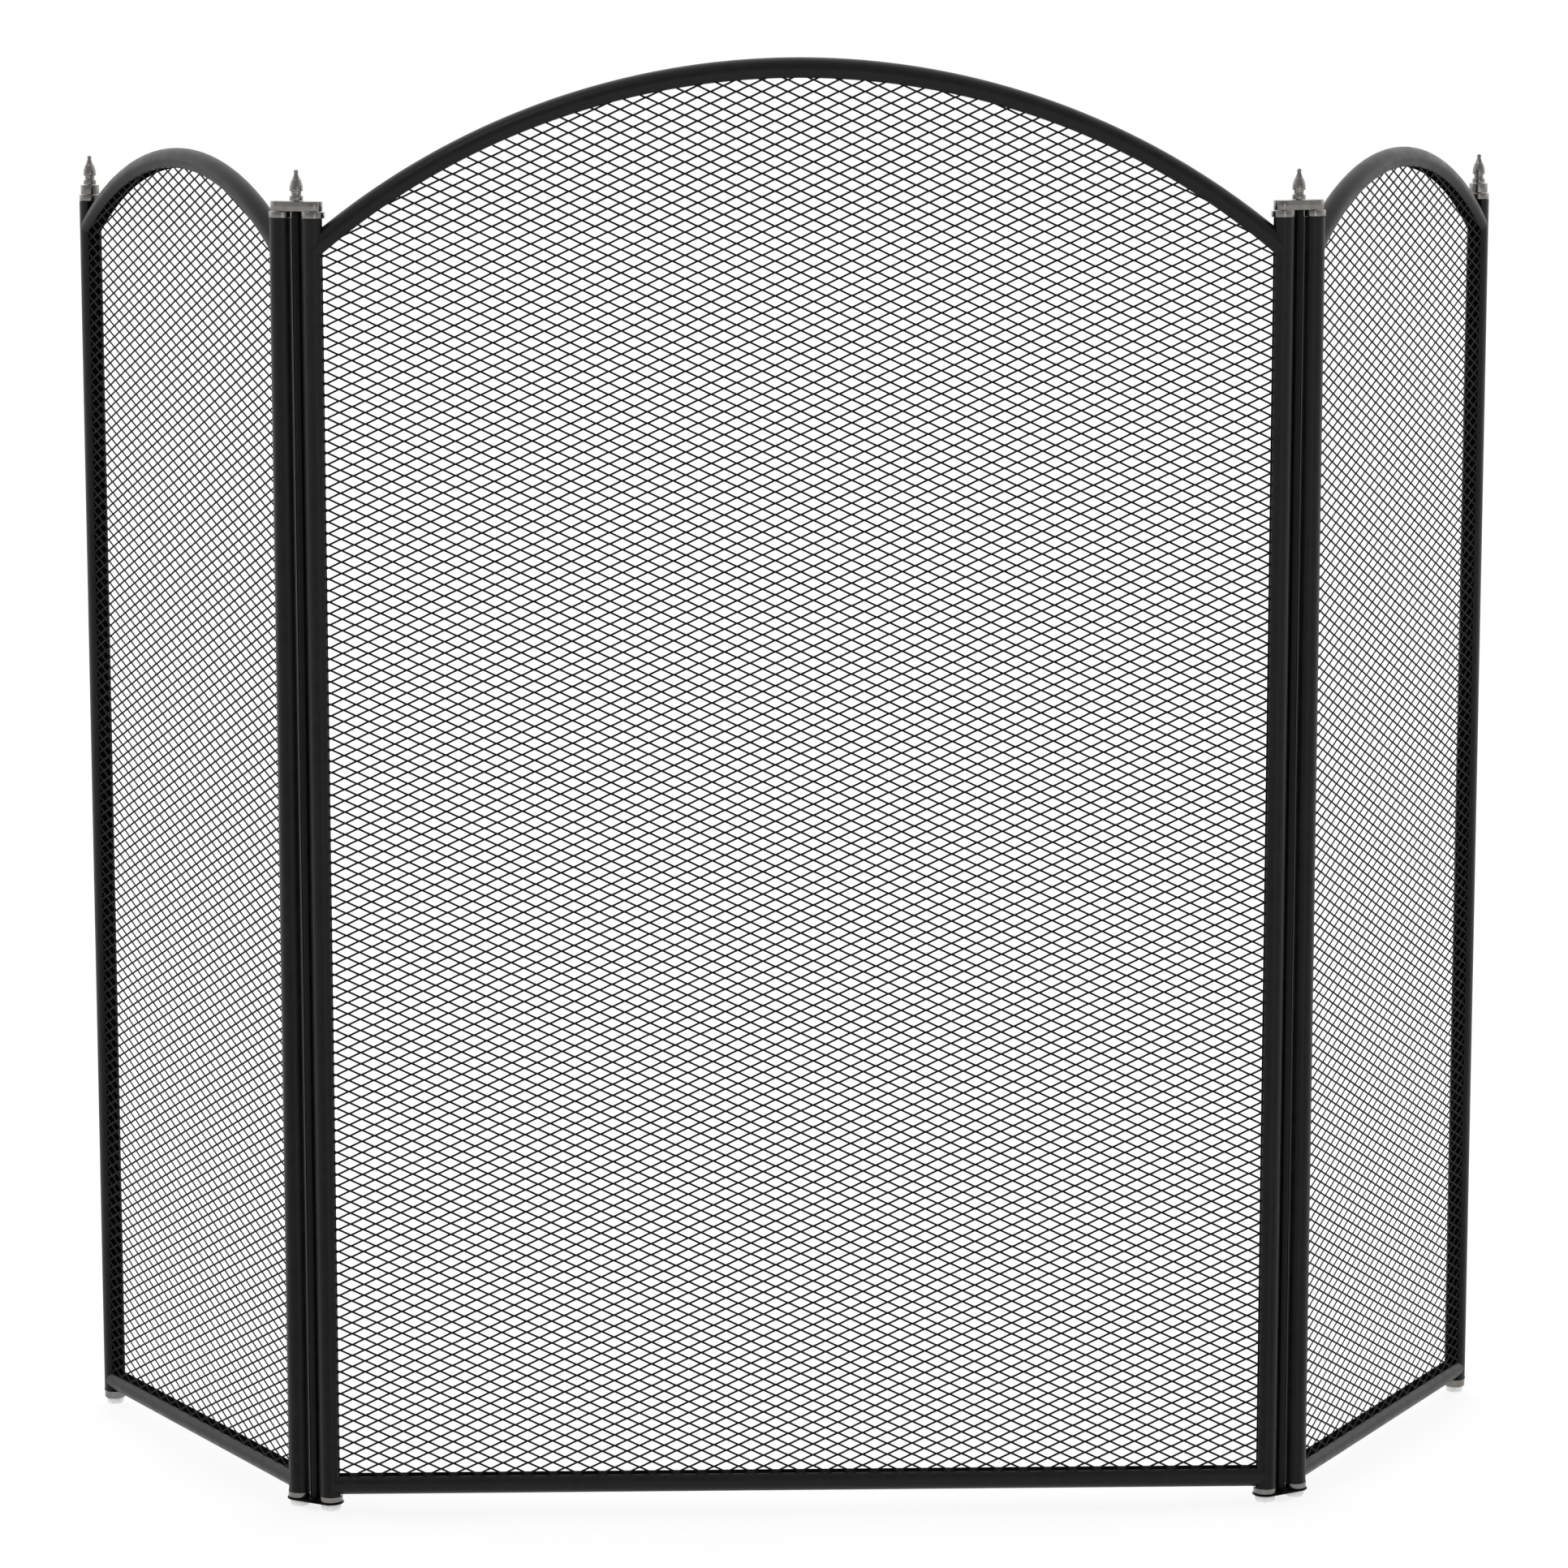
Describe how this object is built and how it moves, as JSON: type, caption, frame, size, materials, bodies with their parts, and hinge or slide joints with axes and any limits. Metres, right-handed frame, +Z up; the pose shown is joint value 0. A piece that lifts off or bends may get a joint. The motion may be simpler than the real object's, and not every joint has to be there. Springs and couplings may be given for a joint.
{
  "type": "fireplace screen",
  "caption": "Free-standing folding fireplace screen: arched expanded-mesh panels in round-tube frames, joined by double-pivot hinges, with pewter finials and clear foot glides.",
  "frame": {"origin": "on the floor, under the middle of the bounding box, with the wings folded back as stored", "axes": "+X to the right along the centre panel, +Y back towards the fire, +Z up; the front faces -Y and left and right are as seen from the front"},
  "size_m": [0.8368, 0.2436, 0.8198],
  "materials": {
    "frame_paint": "satin graphite powder coat",
    "mesh_paint": "satin graphite powder coat",
    "black_paint": "satin black",
    "pewter": "satin pewter plate",
    "zinc_plate": "bright zinc plate",
    "clear_plastic": "frosted clear"
  },
  "bodies": {
    "centre_panel": {"centre_left_post": "frame_paint", "centre_right_post": "frame_paint", "centre_arch_tube": "frame_paint", "centre_bottom_rail": "frame_paint", "centre_mesh": "mesh_paint", "centre_left_top_collar": "pewter", "centre_left_pivot_pin": "zinc_plate", "centre_left_bottom_ferrule": "pewter", "centre_left_foot_glide": "clear_plastic", "centre_right_top_collar": "pewter", "centre_right_pivot_pin": "zinc_plate", "centre_right_bottom_ferrule": "pewter", "centre_right_foot_glide": "clear_plastic"},
    "left_link": {"left_hinge_block": "pewter", "left_hinge_rod": "black_paint", "left_hinge_plate": "black_paint", "left_hinge_finial": "pewter", "left_hinge_screw": "zinc_plate"},
    "left_wing": {"left_wing_inner_post": "frame_paint", "left_wing_outer_post": "frame_paint", "left_wing_arch_tube": "frame_paint", "left_wing_bottom_rail": "frame_paint", "left_wing_mesh": "mesh_paint", "left_wing_inner_top_collar": "pewter", "left_wing_inner_pivot_pin": "zinc_plate", "left_wing_inner_bottom_ferrule": "pewter", "left_wing_inner_foot_glide": "clear_plastic", "left_wing_outer_top_collar": "pewter", "left_wing_outer_spacer": "pewter", "left_wing_outer_finial": "pewter", "left_wing_outer_bottom_ferrule": "pewter", "left_wing_outer_foot_glide": "clear_plastic"},
    "right_link": {"right_hinge_block": "pewter", "right_hinge_rod": "black_paint", "right_hinge_plate": "black_paint", "right_hinge_finial": "pewter", "right_hinge_screw": "zinc_plate"},
    "right_wing": {"right_wing_inner_post": "frame_paint", "right_wing_outer_post": "frame_paint", "right_wing_arch_tube": "frame_paint", "right_wing_bottom_rail": "frame_paint", "right_wing_mesh": "mesh_paint", "right_wing_inner_top_collar": "pewter", "right_wing_inner_pivot_pin": "zinc_plate", "right_wing_inner_bottom_ferrule": "pewter", "right_wing_inner_foot_glide": "clear_plastic", "right_wing_outer_top_collar": "pewter", "right_wing_outer_spacer": "pewter", "right_wing_outer_finial": "pewter", "right_wing_outer_bottom_ferrule": "pewter", "right_wing_outer_foot_glide": "clear_plastic"}
  },
  "joints": [
    {"name": "left_link_pivot", "type": "hinge", "parent": "centre_panel", "child": "left_link", "pos_m": [-0.2671, -0.11459, 0.37], "axis": [0, 0, -1], "range_deg": [-120, 60]},
    {"name": "left_wing_pivot", "type": "hinge", "parent": "left_link", "child": "left_wing", "pos_m": [-0.28537, -0.10404, 0.37], "axis": [0, 0, -1], "range_deg": [-120, 60]},
    {"name": "right_link_pivot", "type": "hinge", "parent": "centre_panel", "child": "right_link", "pos_m": [0.2671, -0.11459, 0.37], "axis": [0, 0, 1], "range_deg": [-120, 60]},
    {"name": "right_wing_pivot", "type": "hinge", "parent": "right_link", "child": "right_wing", "pos_m": [0.28537, -0.10404, 0.37], "axis": [0, 0, 1], "range_deg": [-120, 60]}
  ]
}
